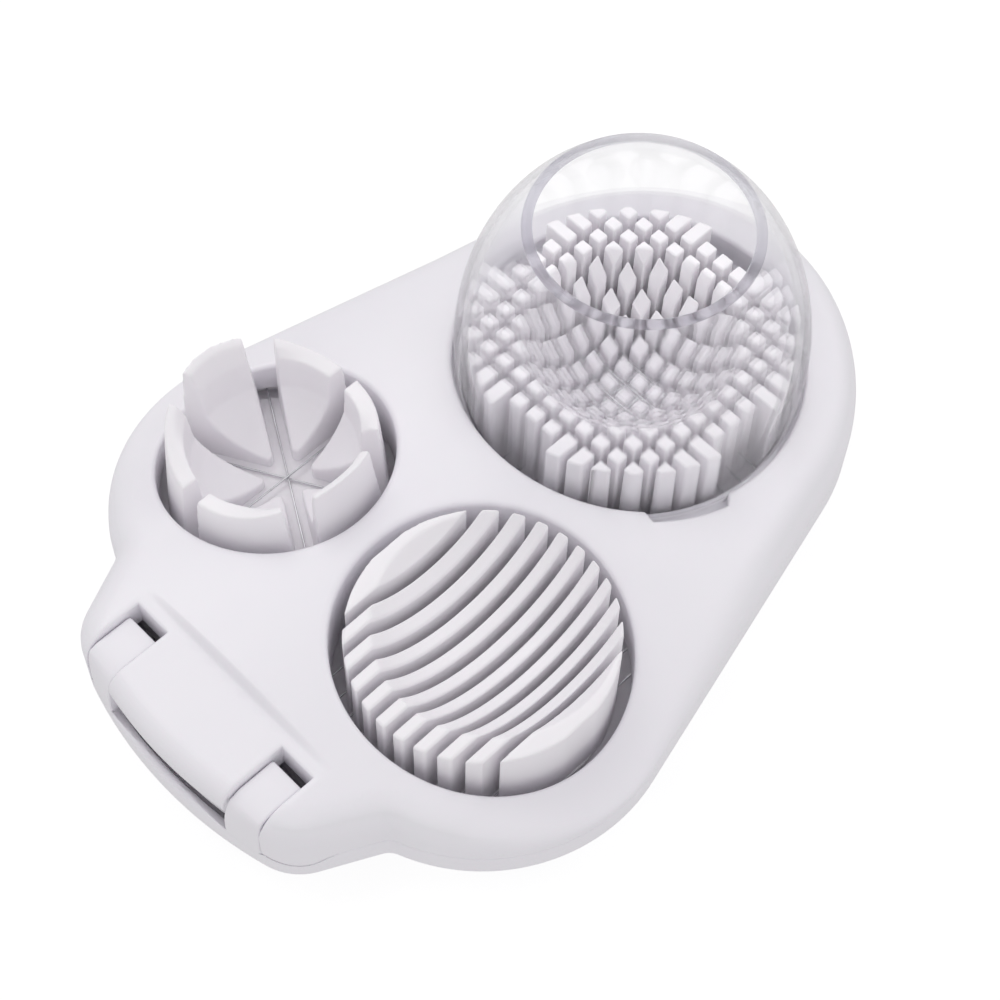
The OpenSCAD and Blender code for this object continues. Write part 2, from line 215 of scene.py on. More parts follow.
def height_field(loops, points, keep, top, bottom):
    """Closed shell between two heights over the part of the plan that keep accepts.

    Its edges follow the loops, which are lines with a flag that says if they are closed."""
    verts, edges = [], []
    for pts, closed in [(resample(p, c), c) for p, c in loops]:
        k = len(verts)
        verts += [tuple(p) for p in pts]
        edges += [(k + i, k + i + 1) for i in range(len(pts) - 1)]
        if closed:
            edges.append((k + len(pts) - 1, k))
    verts += [tuple(p) for p in points]
    out = geometry.delaunay_2d_cdt([Vector(v) for v in verts], edges, [], 0, 1e-5, False)
    plan = np.array([tuple(v) for v in out[0]])
    tris = np.array([tuple(f) for f in out[2]])
    a, b, c = plan[tris[:, 0]], plan[tris[:, 1]], plan[tris[:, 2]]
    cross = (b[:, 0] - a[:, 0]) * (c[:, 1] - a[:, 1]) - (b[:, 1] - a[:, 1]) * (c[:, 0] - a[:, 0])
    tris = np.where((cross < 0)[:, None], tris[:, ::-1], tris)
    tris = tris[keep((a + b + c) / 3) & (np.abs(cross) > 1e-7)]
    used = np.unique(tris)
    back = np.full(len(plan), -1)
    back[used] = np.arange(len(used))
    tris, plan = back[tris], plan[used]
    zt = top(plan)
    zb = np.minimum(bottom(plan), zt - 0.25)
    n = len(plan)
    verts = np.vstack([np.column_stack([plan, zt]), np.column_stack([plan, zb])])
    faces = [tuple(t) for t in tris] + [tuple(t[::-1] + n) for t in tris]
    sides = dict.fromkeys((t[i], t[(i + 1) % 3]) for t in tris for i in range(3))
    for i, j in sides:
        if (j, i) not in sides:
            faces.append((i + n, j + n, j, i))
    return verts, faces


def fillet(d, r):
    """Drop of a rounded edge of radius r at distance d from the edge."""
    u = np.clip(r - d, 0, r)
    return r - np.sqrt(np.maximum(r * r - u * u, 0))


def ring(c, r, n):
    """n points of a circle."""
    t = 2 * np.pi * np.arange(n) / n
    return np.column_stack([c[0] + r * np.cos(t), c[1] + r * np.sin(t)])


def hexes(lo, hi, pitch):
    """Points that fill a rectangle in staggered rows."""
    out = []
    for j, y in enumerate(np.arange(lo[1], hi[1], pitch * 0.866)):
        for x in np.arange(lo[0] + (j % 2) * pitch / 2, hi[0], pitch):
            out.append((x, y))
    return np.array(out)


def plan_turn(verts, faces):
    """Above zero if the faces, seen from above, turn anticlockwise."""
    total = 0.0
    for face in faces:
        x, y = verts[list(face), 0], verts[list(face), 1]
        total += x @ np.roll(y, -1) - np.roll(x, -1) @ y
    return total


def grid_block(top, low):
    """Closed block between two grids of points, top[v][u] over low[v][u]."""
    nv, nu = top.shape[:2]
    verts = np.vstack([top.reshape(-1, 3), low.reshape(-1, 3)])
    n = nv * nu
    faces = []
    for v in range(nv - 1):
        for u in range(nu - 1):
            a = v * nu + u
            faces.append((a, a + 1, a + nu + 1, a + nu))
            faces.append((a + n, a + nu + n, a + nu + 1 + n, a + 1 + n))
    rim = list(range(nu)) + [v * nu + nu - 1 for v in range(1, nv)]
    rim += [(nv - 1) * nu + u for u in range(nu - 2, -1, -1)] + [v * nu for v in range(nv - 2, 0, -1)]
    for a, b in zip(rim, rim[1:] + rim[:1]):
        faces.append((a, a + n, b + n, b))
    tops = faces[:2 * (nu - 1) * (nv - 1):2]
    if plan_turn(verts, tops) < 0:
        faces = [f[::-1] for f in faces]
    return verts, faces


def merge(parts):
    """Several meshes as one list of corners and one of faces."""
    verts, faces, k = [], [], 0
    for v, f in parts:
        verts.append(np.asarray(v, float))
        faces += [tuple(int(i) + k for i in face) for face in f]
        k += len(v)
    return np.vstack(verts), faces


def disc_block(c, r, z0, z1, n=128):
    """A flat round plate."""
    edge = ring(c, r, n)
    verts = np.vstack([np.column_stack([edge, np.full(n, z)]) for z in (z0, z1)])
    faces = [tuple(range(n - 1, -1, -1)), tuple(range(n, 2 * n))]
    faces += [(i, (i + 1) % n, n + (i + 1) % n, n + i) for i in range(n)]
    return verts, faces


def turned(c, profile, n=160):
    """A closed profile of (radius, z) points, turned about the upright axis through c."""
    k = len(profile)
    verts = [(c[0] + r * math.cos(2 * math.pi * i / n), c[1] + r * math.sin(2 * math.pi * i / n), z)
             for i in range(n) for r, z in profile]
    faces = [(i * k + j, (i + 1) % n * k + j, (i + 1) % n * k + (j + 1) % k, i * k + (j + 1) % k)
             for i in range(n) for j in range(k)]
    return verts, faces


# ---------------------------------------------------------------- materials


def new_material(name):
    m = bpy.data.materials.new(name)
    m.use_nodes = True
    nodes = m.node_tree.nodes
    return m, nodes, m.node_tree.links, nodes["Principled BSDF"]


def noise(nodes, links, scale, detail, stretch=None):
    """Noise in the piece's own coordinates."""
    coord = nodes.new("ShaderNodeTexCoord")
    n = nodes.new("ShaderNodeTexNoise")
    n.inputs["Scale"].default_value = scale
    n.inputs["Detail"].default_value = detail
    if stretch:
        mapping = nodes.new("ShaderNodeMapping")
        mapping.inputs["Scale"].default_value = stretch
        links.new(coord.outputs["Object"], mapping.inputs["Vector"])
        links.new(mapping.outputs["Vector"], n.inputs["Vector"])
    else:
        links.new(coord.outputs["Object"], n.inputs["Vector"])
    return n


def ramp(nodes, links, source, stops):
    """Two colours, blended between two stops of (place, colour)."""
    r = nodes.new("ShaderNodeValToRGB")
    for element, (place, colour) in zip(r.color_ramp.elements, stops):
        element.position, element.color = place, (*colour, 1)
    links.new(source, r.inputs["Fac"])
    return r


def span(nodes, links, source, lo, hi):
    """A value from 0 to 1, stretched to run from lo to hi."""
    r = nodes.new("ShaderNodeMapRange")
    r.inputs["To Min"].default_value = lo
    r.inputs["To Max"].default_value = hi
    links.new(source, r.inputs["Value"])
    return r.outputs["Result"]


def add_bump(nodes, links, shader, height, strength, distance):
    b = nodes.new("ShaderNodeBump")
    b.inputs["Strength"].default_value = strength
    b.inputs["Distance"].default_value = distance
    links.new(height, b.inputs["Height"])
    links.new(b.outputs["Normal"], shader.inputs["Normal"])


def moulded_plastic(name, light, dark, rough):
    """Moulded ABS: faint flow mottling, a fine orange peel and small changes of gloss."""
    m, nodes, links, shader = new_material(name)
    flow = noise(nodes, links, 22.0, 3.0, (1.0, 1.6, 1.0))
    colour = ramp(nodes, links, flow.outputs["Fac"], [(0.3, dark), (0.7, light)])
    links.new(colour.outputs["Color"], shader.inputs["Base Color"])
    smear = noise(nodes, links, 60.0, 5.0)
    gloss = span(nodes, links, smear.outputs["Fac"], rough - 0.05, rough + 0.06)
    links.new(gloss, shader.inputs["Roughness"])
    peel = noise(nodes, links, 900.0, 2.0)
    add_bump(nodes, links, shader, peel.outputs["Fac"], 0.05, 0.00004)
    shader.inputs["IOR"].default_value = 1.5
    shader.inputs["Subsurface Weight"].default_value = 0.12
    shader.inputs["Subsurface Radius"].default_value = (1.0, 0.8, 0.9)
    shader.inputs["Subsurface Scale"].default_value = 0.0015
    return m


def drawn_steel(name, base, rough, grain):
    """Bright steel with drawing marks."""
    m, nodes, links, shader = new_material(name)
    marks = noise(nodes, links, 400.0, 6.0, grain)
    low = tuple(c * 0.82 for c in base)
    colour = ramp(nodes, links, marks.outputs["Fac"], [(0.3, low), (0.7, base)])
    links.new(colour.outputs["Color"], shader.inputs["Base Color"])
    gloss = span(nodes, links, marks.outputs["Fac"], rough - 0.06, rough + 0.1)
    links.new(gloss, shader.inputs["Roughness"])
    add_bump(nodes, links, shader, marks.outputs["Fac"], 0.15, 0.00002)
    shader.inputs["Metallic"].default_value = 1.0
    return m


def soft_rubber(name):
    """Matt rubber with a fine speckle."""
    m, nodes, links, shader = new_material(name)
    speck = noise(nodes, links, 700.0, 4.0)
    dark, light = (0.30, 0.30, 0.32), (0.38, 0.38, 0.40)
    colour = ramp(nodes, links, speck.outputs["Fac"], [(0.3, dark), (0.7, light)])
    links.new(colour.outputs["Color"], shader.inputs["Base Color"])
    links.new(span(nodes, links, speck.outputs["Fac"], 0.7, 0.9), shader.inputs["Roughness"])
    add_bump(nodes, links, shader, speck.outputs["Fac"], 0.3, 0.00005)
    return m


def clear_dome(name, tint, solid):
    """Clear polished plastic with faint swirls from the mould.

    A low index and an alpha below 1 keep its edges from turning dark."""
    m, nodes, links, shader = new_material(name)
    swirl = noise(nodes, links, 35.0, 2.0, (1.0, 1.0, 0.35))
    links.new(span(nodes, links, swirl.outputs["Fac"], 0.015, 0.045), shader.inputs["Roughness"])
    pale = tuple(0.5 + c / 2 for c in tint)
    colour = ramp(nodes, links, swirl.outputs["Fac"], [(0.3, tint), (0.7, pale)])
    links.new(colour.outputs["Color"], shader.inputs["Base Color"])
    add_bump(nodes, links, shader, swirl.outputs["Fac"], 0.03, 0.0002)
    shader.inputs["Transmission Weight"].default_value = 1.0
    shader.inputs["IOR"].default_value = 1.03
    shader.inputs["Alpha"].default_value = solid
    shader.inputs["Coat Weight"].default_value = 0.7
    shader.inputs["Coat Roughness"].default_value = 0.03
    return m


WHITE = moulded_plastic("white_plastic", (0.905, 0.885, 0.93), (0.885, 0.865, 0.915), 0.33)
CRADLE = moulded_plastic("cradle_plastic", (0.96, 0.935, 0.97), (0.945, 0.92, 0.96), 0.36)
CARRIER = moulded_plastic("carrier_plastic", (0.86, 0.835, 0.87), (0.83, 0.80, 0.845), 0.5)
DOME = clear_dome("clear_plastic", (0.89, 0.885, 0.91), 0.55)
# the lip's darker tint is painted shade: it stands in for the grey line that light draws along the clear
# edge of the mouth
SHADED_LIP = clear_dome("clear_lip_painted_shade", (0.66, 0.65, 0.71), 0.8)
WIRE = drawn_steel("wire_steel", (0.72, 0.72, 0.74), 0.28, (1.0, 1.0, 1.0))
STEEL = drawn_steel("bright_steel", (0.66, 0.66, 0.68), 0.32, (1.0, 1.0, 6.0))
RUBBER = soft_rubber("foot_rubber")

for node, material in {
        "wire_carrier": CARRIER, "carrier_screws": STEEL, "cradle_screws": STEEL, "hinge_pin": STEEL,
        "rubber_feet": RUBBER, "wedge_wire_a": WIRE, "wedge_wire_b": WIRE, "wedge_wire_c": WIRE,
        "slicer_wires": WIRE, "dicer_wires_long": WIRE, "dicer_wires_cross": WIRE}.items():
    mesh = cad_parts[node].data
    mesh.materials.clear()
    mesh.materials.append(material)

# ---------------------------------------------------------------- frame cover


def crown(p):
    """Height of the deck's even curve."""
    return DECK_H - CROWN_R + np.sqrt(CROWN_R ** 2 - p[:, 1] ** 2)


def deck(p):
    """The crown, and the lower deck over the hinge."""
    z = crown(p)
    s = np.clip((p[:, 0] - (TONGUE_X - STEP_W / 2)) / STEP_W, 0, 1)
    s = s * s * (3 - 2 * s)
    return np.minimum(z, TONGUE_Z) + s * np.maximum(z - TONGUE_Z, 0)


def slot_distance(p):
    """Distance outside the two slots that the knuckles stand in."""
    y = np.abs(p[:, 1])
    dx = np.maximum(p[:, 0] - SLOT_X, 0)
    dy = np.maximum(np.maximum(TONGUE_Y - y, y - SLOT_Y), 0)
    return np.hypot(dx, dy)


def in_slot(p):
    """Which points lie in one of the two slots."""
    y = np.abs(p[:, 1])
    return (p[:, 0] < SLOT_X) & (y > TONGUE_Y) & (y < SLOT_Y)


def tongue_edge(y):
    """x of the tongue's rear edge at y."""
    return tail_line(y) + 0.8


def notch_reach(angle):
    """How far the rim's notch stands outside the dicer's hole at an angle."""
    off = np.abs((angle - NOTCH + np.pi) % (2 * np.pi) - np.pi) * DICER_HOLE_R
    return NOTCH_DEPTH * np.clip((NOTCH_HALF - off) / NOTCH_EASE, 0, 1)


ROLL = 7.0          # rounding of the cover's outer edge
TONGUE_ROLL = 4.6   # rounding of the tongue's rear edge
TONGUE_LIP = 2.0    # the tongue's rear edge is a thin lip this wide
LIP_SKIN = 1.5
SLOT_LOW = 14       # the slots' rounded edges stop at this height
BARREL_LOW = 9.0


def cover_top(p):
    """The deck with its rounded edges, and the notch down to the ledge."""
    z = deck(p)
    in_tongue = (np.abs(p[:, 1]) <= TONGUE_Y + 1e-6) & (p[:, 0] < SLOT_X)
    d = edge_distance(OUT, p)
    roll = np.clip(z - SEAM - 1.2, 0.8, ROLL)
    drop = np.where(in_tongue, 0, fillet(d, roll))
    rear = p[:, 0] - tongue_edge(p[:, 1])
    drop = np.where(in_tongue, fillet(rear, TONGUE_ROLL), drop)
    slots = np.where(p[:, 0] < SLOT_X + 3, fillet(slot_distance(p), SLOT_ROUND), 0)
    z = z - drop - np.minimum(slots, np.maximum(z - drop - SLOT_LOW, 0))
    for c, r in HOLES:
        q = p - c
        away = np.linalg.norm(q, axis=1)
        notched = r == DICER_HOLE_R
        reach = notch_reach(np.arctan2(q[:, 1], q[:, 0])) if notched else 0
        z = z - fillet(away - r - reach, HOLE_ROUND)
        if notched:
            z = np.where(away < r + reach - MARGIN, LEDGE_TOP, z)
    return z


def cover_bottom(p):
    """Underside of the deck, with the skirt, the collars, the slots' walls and the barrel."""
    z = deck(p) - WALL
    z = np.where(slot_distance(p) < SLOT_WALL + MARGIN, np.minimum(z, SLOT_WALL_Z), z)
    for c, r in HOLES:
        z = np.where(np.linalg.norm(p - c, axis=1) < r + COLLAR_W + MARGIN, COLLAR_Z, z)
    wheel = AXIS_Z - np.sqrt(np.maximum(BARREL_R ** 2 - (p[:, 0] - AXIS_X) ** 2, 0))
    in_tongue = (np.abs(p[:, 1]) <= TONGUE_Y + 1e-6) & (p[:, 0] < AXIS_X + BARREL_R)
    skirt = edge_distance(OUT, p) < WALL + MARGIN
    z = np.where(skirt & ~in_tongue, np.minimum(SEAM, wheel), z)
    z = np.where(in_tongue, np.maximum(wheel, BARREL_LOW), z)
    rear = p[:, 0] - tongue_edge(p[:, 1])
    return np.where(in_tongue & (rear < TONGUE_LIP), cover_top(p) - LIP_SKIN, z)


def cover_keep(p):
    """Inside the outline, and in no slot or hole."""
    ok = inside(OUT, p) & ~in_slot(p)
    for c, r in HOLES:
        ok &= np.linalg.norm(p - c, axis=1) > r
    return ok & ((np.abs(p[:, 1]) > TONGUE_Y) | (p[:, 0] > tongue_edge(p[:, 1])))


def line_at(x, y):
    """An open line, with x or y the same all along where it is one number."""
    x, y = np.broadcast_arrays(x, y)
    return np.column_stack([x, y]), False


def notch_lines():
    """Lines round the notch, beside its edge."""
    turns = np.linspace(NOTCH - 11 / DICER_HOLE_R, NOTCH + 11 / DICER_HOLE_R, 60)
    turns = turns[notch_reach(turns) > 0.15]
    out = DICER_HOLE_R + notch_reach(turns)
    return [line_at(DICER[0] + (out + s) * np.cos(turns), DICER[1] + (out + s) * np.sin(turns))
            for s in (-0.04, 0.0, 0.08, 0.22, 0.45, 0.8, HOLE_ROUND)]


def slot_lines():
    """Lines round the two slots."""
    lines = []
    for side in (1, -1):
        for s in (0, 0.07, 0.2, 0.4, SLOT_ROUND, SLOT_WALL, SLOT_WALL + 0.05):
            y0, y1, x1 = TONGUE_Y - s, SLOT_Y + s, SLOT_X + s
            xs = np.linspace(TAIL_X - 1, x1, 30)
            lines += [line_at(xs, side * y0), line_at(xs, side * y1)]
            lines.append(line_at(x1, np.linspace(y0, y1, 12) * side))
    return lines


def tongue_lines():
    """Lines along the tongue's rear edge, its barrel and the step up to the deck."""
    ys = np.linspace(-TONGUE_Y, TONGUE_Y, 40)
    steps = [0, 0.06, 0.18, 0.4, 0.75, 1.2, 1.6, TONGUE_LIP - MARGIN, TONGUE_LIP + MARGIN,
             2.6, 3.4, TONGUE_ROLL]
    lines = [line_at(tongue_edge(ys) + s, ys) for s in steps]
    lines += [line_at(x, ys) for x in np.arange(AXIS_X - 7, AXIS_X + BARREL_R, 1.0)]
    lines += [line_at(AXIS_X + BARREL_R + s, ys) for s in (-MARGIN, MARGIN)]
    step = np.arange(TONGUE_X - STEP_W / 2, TONGUE_X + STEP_W / 2 + 0.01, 0.25)
    return lines + [line_at(x, np.linspace(-33, 33, 40)) for x in step]


loops = [(outline(i), True) for i in
         (0, 0.12, 0.35, 0.7, 1.2, 1.8, WALL, WALL + 0.05, 3.0, 4.0, 5.2, 6.5, 8.0, 10.0)]
for c, r in HOLES:
    steps = [0, 0.08, 0.22, 0.45, 0.8, HOLE_ROUND, 2.0, COLLAR_W, COLLAR_W + 0.05]
    loops += [(ring(c, r + s, 200), True) for s in steps]
loops += notch_lines() + slot_lines() + tongue_lines()
verts, faces = height_field(loops, hexes(PLAN_LO, PLAN_HI, 3.0), cover_keep, cover_top, cover_bottom)
cover = make("cover_shell", verts, faces, "cutting_frame", WHITE, 40)
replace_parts(cover, "frame_cover")

# ledge in the dicer's hole that the dome stands on, rounded at its inner edges
LEDGE_OUT, LEDGE_IN, LEDGE_LOW, LEDGE_ROUND = DICER_HOLE_R + 0.1, 38.8, 16.5, 0.3
ledge = [(LEDGE_OUT, LEDGE_LOW), (LEDGE_IN + LEDGE_ROUND, LEDGE_LOW), (LEDGE_IN, LEDGE_LOW + LEDGE_ROUND),
         (LEDGE_IN, LEDGE_TOP - LEDGE_ROUND), (LEDGE_IN + LEDGE_ROUND, LEDGE_TOP), (LEDGE_OUT, LEDGE_TOP)]
verts, faces = turned(DICER, ledge)
make("dome_ledge", verts, [f[::-1] for f in faces], "cutting_frame", WHITE)

# ---------------------------------------------------------------- tray

SEAM_GAP = 0.35
SCOOP_R = 9.5       # the tray is cut back round the tongue's barrel
TRAY_LOW = 1.5      # the tray's underside, above the feet


def tray_top(p):
    """The tray's floor and its rim, cut back for the hinge."""
    d = edge_distance(OUT, p)
    rim = np.full(len(p), SEAM - SEAM_GAP) - fillet(d, 0.9) - fillet(WALL - d, 0.4)
    wheel = AXIS_Z - np.sqrt(np.maximum((BARREL_R + 0.5) ** 2 - (p[:, 0] - AXIS_X) ** 2, 0))
    rim = np.where(np.abs(p[:, 1]) > SLOT_Y, np.minimum(rim, wheel), rim)
    scoop = AXIS_Z - np.sqrt(np.maximum(SCOOP_R ** 2 - (p[:, 0] - AXIS_X) ** 2, 0))
    rim = np.where(np.abs(p[:, 1]) < SLOT_Y, np.minimum(rim, scoop), rim)
    return np.where(d < WALL + MARGIN, rim, TRAY_FLOOR)


def tray_bottom(p):
    return TRAY_LOW + fillet(edge_distance(OUT, p), 1.2)


loops = [(outline(i), True) for i in
         (0, 0.06, 0.15, 0.3, 0.5, 0.8, 1.2, 1.8, 2.0, 2.1, WALL, WALL + 0.05, 4.0)]
verts, faces = height_field(
    loops, hexes(PLAN_LO, PLAN_HI, 6.0), lambda p: inside(OUT, p), tray_top, tray_bottom)
tray = make("tray_shell", verts, faces, "tray", WHITE, 40)
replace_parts(tray, "base_tray")

KNUCKLE_R, KNUCKLE_Y0, KNUCKLE_Y1 = 6.4, 18.8, 27.7


def knuckle(side):
    """One of the two knuckles that stand in the frame's slots, as a row of like side views."""
    front, top = AXIS_X + KNUCKLE_R + 1.5, AXIS_Z + KNUCKLE_R
    rows = []
    for y in np.linspace(KNUCKLE_Y0, KNUCKLE_Y1, 8):
        rear = tail_line(np.array([y]))[0]
        line = [(front, 4.0), (front, 12.0), (front, 20.9), (front - 0.3, 21.6), (front - 1.0, top),
                (AXIS_X - 1.5, top), (AXIS_X - 3.4, top - 0.7)]
        x0, z0 = line[-1]
        for k in range(1, 7):
            t = k / 6 * math.pi / 2
            line.append((x0 + (rear - x0) * math.sin(t), z0 - (z0 - 11.0) * (1 - math.cos(t))))
        line += [(rear, 9.0), (rear, 7.0)]
        rows.append([(x, side * y, z) for x, z in line])
    rows = np.array(rows)
    nv, nu = rows.shape[:2]
    faces = [(v * nu + u, v * nu + u + 1, (v + 1) * nu + u + 1, (v + 1) * nu + u)
             for v in range(nv - 1) for u in range(nu - 1)]
    faces += [(v * nu, (v + 1) * nu, (v + 1) * nu + nu - 1, v * nu + nu - 1) for v in range(nv - 1)]
    faces += [tuple(range(nu - 1, -1, -1)), tuple(range((nv - 1) * nu, nv * nu))]
    if side < 0:
        faces = [f[::-1] for f in faces]
    return rows.reshape(-1, 3), faces


verts, faces = merge([knuckle(1), knuckle(-1)])
piece = make("hinge_knuckles", verts, faces, "tray", WHITE, 40)
bevel(piece, 0.5, 3, 50)

# ---------------------------------------------------------------- wedge cradle

HUB = WEDGER + [3.2, 0.6]       # where the three channels cross
APEX = 5.6                      # the petals start this far from the hub
CUP_R, CUP_Z = 20.5, 28.5       # the bowl's sphere
BOWL_END, WALL_SLOPE = 19.0, 16.0
RIM_Z, RIM_RISE = 29.3, 0.015   # the rims rise to both sides
RIM_RADII = (BOWL_END, 19.6, 21.4, 23.2, 23.55, 24.1, 24.7, 25.3, WEDGER_R)
DRAFT_TOP, DRAFT = 38.0, 2.4    # the outer wall leans in by the draft up to this height
CHANNEL_HALF, CHANNEL_DRAFT, CHANNEL_LEAN = 2.1, 0.3, 2.8


def petal_surface(p):
    """Height of a petal's bowl, rim and outer wall, without the channels."""
    r = np.linalg.norm(p - WEDGER, axis=1)
    top = RIM_Z + RIM_RISE * (p[:, 1] - WEDGER[1]) ** 2
    bowl = CUP_Z - np.sqrt(np.maximum(CUP_R ** 2 - np.minimum(r, BOWL_END) ** 2, 0))
    edge = CUP_Z - math.sqrt(CUP_R ** 2 - BOWL_END ** 2)
    bowl = np.where(r > BOWL_END, edge + (r - BOWL_END) * WALL_SLOPE, bowl)
    outer = PLATE_TOP + (WEDGER_R - r) / DRAFT * (DRAFT_TOP - PLATE_TOP)
    return np.maximum(np.minimum(np.minimum(top, bowl), outer), PLATE_TOP + 0.3)


def channel_half(angle, leans, z):
    """Half the width of a channel. A wall that leans makes room for the wires' swing."""
    wide = CHANNEL_DRAFT + (CHANNEL_LEAN * math.sin(math.radians(angle)) if leans else 0.0)
    return CHANNEL_HALF + wide * (z - PLATE_TOP) / (DRAFT_TOP - PLATE_TOP)


def channel_turn(angle, sign, rho, z):
    """Angle that a channel takes from a petal at rho from the hub.

    The petal lies to the left of the channel's ray if sign is 1, and to the right if it is -1."""
    base = angle % 180
    left = sign * (1 if angle % 360 < 180 else -1)
    half = channel_half(base, base > 0 and left > 0, z)
    return math.asin(min(half / rho, 0.99))


def hub_reach(angle, radius):
    """Distance from the hub, at an angle, to a circle about the cup's middle."""
    q = HUB - WEDGER
    b = q @ np.array([math.cos(angle), math.sin(angle)])
    return -b + math.sqrt(b * b - q @ q + radius * radius)


def from_hub(angle, rho):
    """The point at a distance from the hub."""
    return HUB + rho * np.array([math.cos(angle), math.sin(angle)])


def petal(middle_angle, columns=13):
    """One petal, on rays from the hub between two channels."""
    a0, a1 = middle_angle - 30, middle_angle + 30
    r0, r1 = math.radians(a0), math.radians(a1)
    stations = [(k / 7, None) for k in range(7)] + [(None, radius) for radius in RIM_RADII]
    top, low = [], []
    for share, radius in stations:
        row_top, row_low = [], []
        for f in [u / (columns - 1) for u in range(columns)]:
            angle = math.radians(a0 + (a1 - a0) * f)
            for _ in range(4):  # the channels' width depends on the height, and the height on the angle
                if radius is None:
                    rho = APEX + (hub_reach(angle, BOWL_END) - APEX) * share
                else:
                    rho = hub_reach(angle, radius)
                z = petal_surface(from_hub(angle, rho)[None])[0]
                s0 = r0 + channel_turn(a0, 1, rho, z)
                s1 = r1 - channel_turn(a1, -1, rho, z)
                angle = s0 + (s1 - s0) * f
            row_top.append((*from_hub(angle, rho), z))
            s0 = r0 + channel_turn(a0, 1, rho, PLATE_TOP)
            s1 = r1 - channel_turn(a1, -1, rho, PLATE_TOP)
            row_low.append((*from_hub(s0 + (s1 - s0) * f, rho), ROOT))
        top.append(row_top)
        low.append(row_low)
    return grid_block(np.array(top), np.array(low))


verts, faces = merge([petal(30 + 60 * k) for k in range(6)])
piece = make("wedge_petals", verts, faces, "tray", CRADLE, 180)
soften(piece, 0.4, 10)
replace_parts(piece, "wedge_cradle")
verts, faces = disc_block(WEDGER, WEDGER_R, TRAY_FLOOR, PLATE_TOP)
make("wedge_plate", verts, faces, "tray", CRADLE)

# ---------------------------------------------------------------- slicer cradle

BED_X, BED_LOW, BED_R = 3.0, 14.5, 33.0     # the sphere that hollows the ribs
RIBS, RIB_PITCH, RIB_HALF = 9, 5.0, 1.4
CAP_Y0, CAP_Y1 = 23.6, SLICER_R - 0.35


def shoulder(x):
    """Height of the ribs' tops outside the hollow."""
    return 28.0 + 0.045 * x


def rib_height(x, y):
    """Height of a rib: its shoulder, or the hollow where that is lower."""
    drop = BED_R ** 2 - (x - BED_X) ** 2 - y * y
    bowl = BED_LOW + BED_R - np.sqrt(np.maximum(drop, 0))
    return np.minimum(shoulder(x), np.where(drop > 0, bowl, np.inf))


def rib(y0, y1, rows):
    """A rib of the slicer from y0 to y1, measured from the slicer's middle."""
    top, low = [], []
    for y in np.linspace(y0, y1, rows):
        half = math.sqrt(max(SLICER_R ** 2 - y * y, 1.0)) - 0.05
        xs = np.concatenate([np.linspace(-half, -half * 0.5, 16), np.linspace(-half * 0.5, half, 34)[1:]])
        # a station on the crease where the shoulder meets the bowl
        fine = np.linspace(-half, BED_X, 400)
        over = fine[rib_height(fine, y) < shoulder(fine) - 1e-6]
        if len(over):
            xs[np.argmin(np.abs(xs[1:-1] - over[0])) + 1] = over[0]
        z = rib_height(xs, y)
        top.append([(SLICER[0] + x, SLICER[1] + y, h) for x, h in zip(xs, z)])
        low.append([(SLICER[0] + x, SLICER[1] + y, ROOT) for x in xs])
    return grid_block(np.array(top), np.array(low))


places = [(k - (RIBS - 1) / 2) * RIB_PITCH for k in range(RIBS)]
verts, faces = merge([rib(y - RIB_HALF, y + RIB_HALF, 3) for y in places])
piece = make("slicer_ribs", verts, faces, "tray", CRADLE, 40)
bevel(piece, 0.55, 3, 50)
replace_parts(piece, "slicer_cradle")
verts, faces = merge([rib(CAP_Y0, CAP_Y1, 12), rib(-CAP_Y1, -CAP_Y0, 12)])
piece = make("slicer_caps", verts, faces, "tray", CRADLE, 180)
soften(piece, 0.35, 4)
verts, faces = disc_block(SLICER, SLICER_R, TRAY_FLOOR, PLATE_TOP)
make("slicer_plate", verts, faces, "tray", CRADLE)

# ---------------------------------------------------------------- dicer pins

PITCH = 5.05
PIN_TOP = 32.5
DISH_LOW, DISH_R = 8.0, 25.0    # the dish's middle, and the radius where it meets the pins' top
PIN_SIDE, PIN_LEAD = 0.6, 0.35  # half the gap between pins, and extra room for the wires' swing
PIN_DRAFT = 0.2
SLIVER, PIN_LEAST = 0.8, 1.3    # narrower cells and narrower pins are left out
CIRCLE_SIDES = 48
FLAT = DICER_R - 4.7            # the three middle rows end flat, short of the circle
LAST = 6                        # the last row each way, which reaches the circle
FAR = 40


def pin_height(x, y):
    """Height of the pins: a dish with a level rim."""
    return np.minimum(PIN_TOP, DISH_LOW + (PIN_TOP - DISH_LOW) / DISH_R ** 2 * (x * x + y * y))


def clip(poly, a, b, c):
    """The part of a convex polygon where a x + b y <= c."""
    out = []
    for p, q in zip(poly, poly[1:] + poly[:1]):
        dp, dq = a * p[0] + b * p[1] - c, a * q[0] + b * q[1] - c
        if dp <= 0:
            out.append(p)
        if dp * dq < 0:
            t = dp / (dp - dq)
            out.append((p[0] + t * (q[0] - p[0]), p[1] + t * (q[1] - p[1])))
    return out


